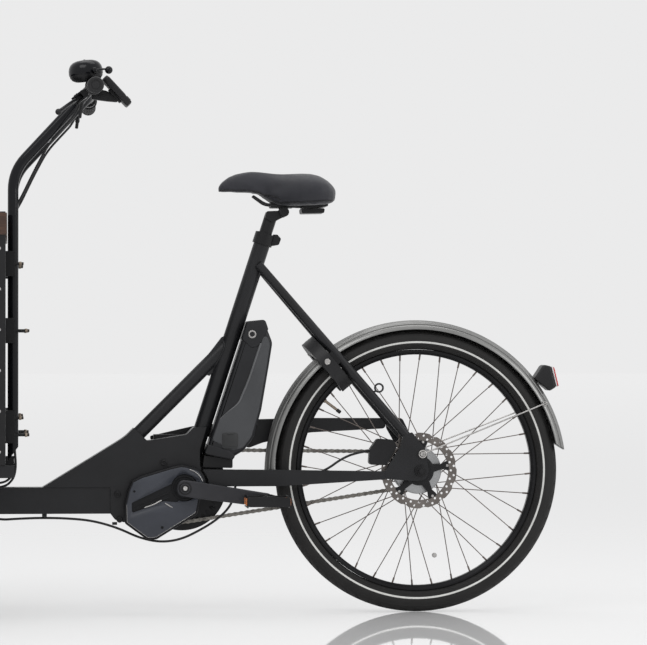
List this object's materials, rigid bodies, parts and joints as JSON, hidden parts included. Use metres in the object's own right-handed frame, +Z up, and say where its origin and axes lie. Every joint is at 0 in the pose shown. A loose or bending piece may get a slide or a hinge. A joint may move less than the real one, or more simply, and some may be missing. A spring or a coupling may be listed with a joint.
{
  "type": "cargo tricycle",
  "caption": "Front-box cargo cycle: an open plywood box steered by tall bars, spoked wheels with disc brakes, mid motor, seat-tube battery, mudguards, ring lock and padded saddle.",
  "frame": {"origin": "on the ground under the middle of the whole cycle", "axes": "+X towards the rear, +Y to the rider's right, +Z up; the cycle faces -X"},
  "size_m": [2.0762, 0.85, 1.1528],
  "materials": {
    "frame_paint": "satin black powder coat",
    "bar_paint": "gloss black",
    "box_ply": "black film-faced plywood",
    "floor_ply": "dark film-faced plywood with a fine mesh",
    "trim_paint": "satin black",
    "tyre_rubber": "moulded tread",
    "rim_black": "satin black anodised",
    "steel": "drawn stainless steel",
    "hub_alloy": "machined",
    "rotor_steel": "ground steel",
    "motor_plastic": "fine grain",
    "motor_metal": "cast and painted",
    "battery_plastic": "fine grain",
    "flap_rubber": "soft matt",
    "guard_plastic": "silver grey with fine ribs",
    "black_plastic": "moulded",
    "lens_red": "clear red",
    "chain_steel": "oiled",
    "black_alloy": "black anodised",
    "dark_alloy": "dark grey forged",
    "hose_black": "smooth",
    "saddle_vinyl": "matt embossed vinyl",
    "grip_rubber": "ribbed"
  },
  "bodies": {
    "rear_frame": {"spar_tube": "frame_paint", "motor_bridge": "frame_paint", "down_tube": "frame_paint", "seat_tube": "frame_paint", "seat_clamp": "black_alloy", "seatstays": "frame_paint", "left_chainstay": "frame_paint", "right_chainstay": "frame_paint", "dropouts": "frame_paint", "rear_axle": "black_alloy", "motor_housing": "motor_metal", "motor_covers": "motor_plastic", "bearings": "steel", "frame_fittings": "black_alloy", "chain": "chain_steel", "rear_mudguard": "guard_plastic", "tail_light": "black_plastic", "tail_light_lens": "lens_red", "rear_caliper": "black_alloy", "rear_brake_hose": "hose_black", "lock_body": "black_plastic"},
    "rear_wheel": {"rear_tyre": "tyre_rubber", "rear_rim": "rim_black", "rear_spokes": "steel", "rear_hub": "hub_alloy", "rear_rotor": "rotor_steel"},
    "sprocket": {"rear_sprocket": "chain_steel"},
    "crank": {"left_crank": "dark_alloy", "right_crank": "dark_alloy", "chainring": "black_alloy"},
    "left_pedal": {"left_pedal": "black_alloy"},
    "right_pedal": {"right_pedal": "black_alloy"},
    "battery": {"battery_case": "battery_plastic"},
    "port_flap": {"port_cover": "flap_rubber"},
    "lock_shackle": {"lock_shackle": "steel"},
    "seatpost": {"seatpost": "black_alloy"},
    "saddle": {"saddle_cover": "saddle_vinyl", "saddle_frame": "black_plastic"},
    "front": {"box_walls": "box_ply", "box_floor": "floor_ply", "box_trim": "trim_paint", "front_frame": "frame_paint", "front_mudguards": "guard_plastic", "front_calipers": "black_alloy", "handlebar": "bar_paint", "bar_clamps": "black_alloy", "grips": "grip_rubber", "lever_perches": "black_alloy", "display": "black_plastic", "bell": "bar_paint", "brake_cables": "hose_black"},
    "left_wheel": {"left_tyre": "tyre_rubber", "left_rim": "rim_black", "left_hub": "hub_alloy"},
    "right_wheel": {"right_tyre": "tyre_rubber", "right_rim": "rim_black", "right_hub": "hub_alloy"},
    "left_lever": {"left_brake_lever": "black_alloy"},
    "right_lever": {"right_brake_lever": "black_alloy"},
    "bell_lever": {"bell_lever": "black_plastic"}
  },
  "joints": [
    {"name": "steering", "type": "hinge", "parent": "rear_frame", "child": "front", "pos_m": [-0.5895, 0, 0.24], "axis": [0, 0, 1], "range_deg": [-35, 35]},
    {"name": "rear_wheel_spin", "type": "hinge", "parent": "rear_frame", "child": "rear_wheel", "pos_m": [0.7205, 0, 0.3005], "axis": [0, -1, 0], "continuous": true},
    {"name": "left_wheel_spin", "type": "hinge", "parent": "front", "child": "left_wheel", "pos_m": [-0.5695, -0.385, 0.3005], "axis": [0, -1, 0], "continuous": true},
    {"name": "right_wheel_spin", "type": "hinge", "parent": "front", "child": "right_wheel", "pos_m": [-0.5695, 0.385, 0.3005], "axis": [0, -1, 0], "continuous": true},
    {"name": "crank_spin", "type": "hinge", "parent": "rear_frame", "child": "crank", "pos_m": [0.2255, 0, 0.266], "axis": [0, -1, 0], "continuous": true},
    {"name": "sprocket_spin", "type": "hinge", "parent": "rear_frame", "child": "sprocket", "pos_m": [0.7205, 0.048, 0.3005], "axis": [0, -1, 0], "continuous": true},
    {"name": "left_pedal_spin", "type": "hinge", "parent": "crank", "child": "left_pedal", "pos_m": [0.39363, -0.14, 0.24087], "axis": [0, -1, 0], "continuous": true},
    {"name": "right_pedal_spin", "type": "hinge", "parent": "crank", "child": "right_pedal", "pos_m": [0.05737, 0.14, 0.29113], "axis": [0, -1, 0], "continuous": true},
    {"name": "battery_tilt", "type": "hinge", "parent": "rear_frame", "child": "battery", "pos_m": [0.3295, 0, 0.327], "axis": [0, 1, 0], "range_deg": [0, 12]},
    {"name": "port_flap_swing", "type": "hinge", "parent": "battery", "child": "port_flap", "pos_m": [0.322, -0.0438, 0.3474], "axis": [1, 0, 0], "range_deg": [0, 110]},
    {"name": "lock_close", "type": "hinge", "parent": "rear_frame", "child": "lock_shackle", "pos_m": [0.5315, 0, 0.5224], "axis": [-0.7614, 0, -0.6483], "range_deg": [0, 80]},
    {"name": "seatpost_slide", "type": "slide", "parent": "rear_frame", "child": "seatpost", "axis": [0.309, 0, 0.9511], "range_m": [-0.02, 0.15]},
    {"name": "saddle_tilt", "type": "hinge", "parent": "seatpost", "child": "saddle", "pos_m": [0.4375, 0, 0.846], "axis": [0, 1, 0], "range_deg": [-8, 8]},
    {"name": "left_lever_pull", "type": "hinge", "parent": "front", "child": "left_lever", "pos_m": [0.00044, -0.205, 1.06994], "axis": [-0.6392, 0, 0.769], "range_deg": [0, 18], "stiffness_Nm_per_rad": 1, "springref_deg": -14.32},
    {"name": "right_lever_pull", "type": "hinge", "parent": "front", "child": "right_lever", "pos_m": [0.00044, 0.205, 1.06994], "axis": [0.6392, 0, -0.769], "range_deg": [0, 18], "stiffness_Nm_per_rad": 1, "springref_deg": -14.32},
    {"name": "bell_flick", "type": "hinge", "parent": "front", "child": "bell_lever", "pos_m": [0.03542, -0.252, 1.11771], "axis": [-0.309, 0, 0.9511], "range_deg": [0, 15], "stiffness_Nm_per_rad": 0.02, "springref_deg": -11.46}
  ],
  "couplings": [
    {"joint": "sprocket_spin", "follows": "crank_spin", "ratio": 2.1111}
  ]
}
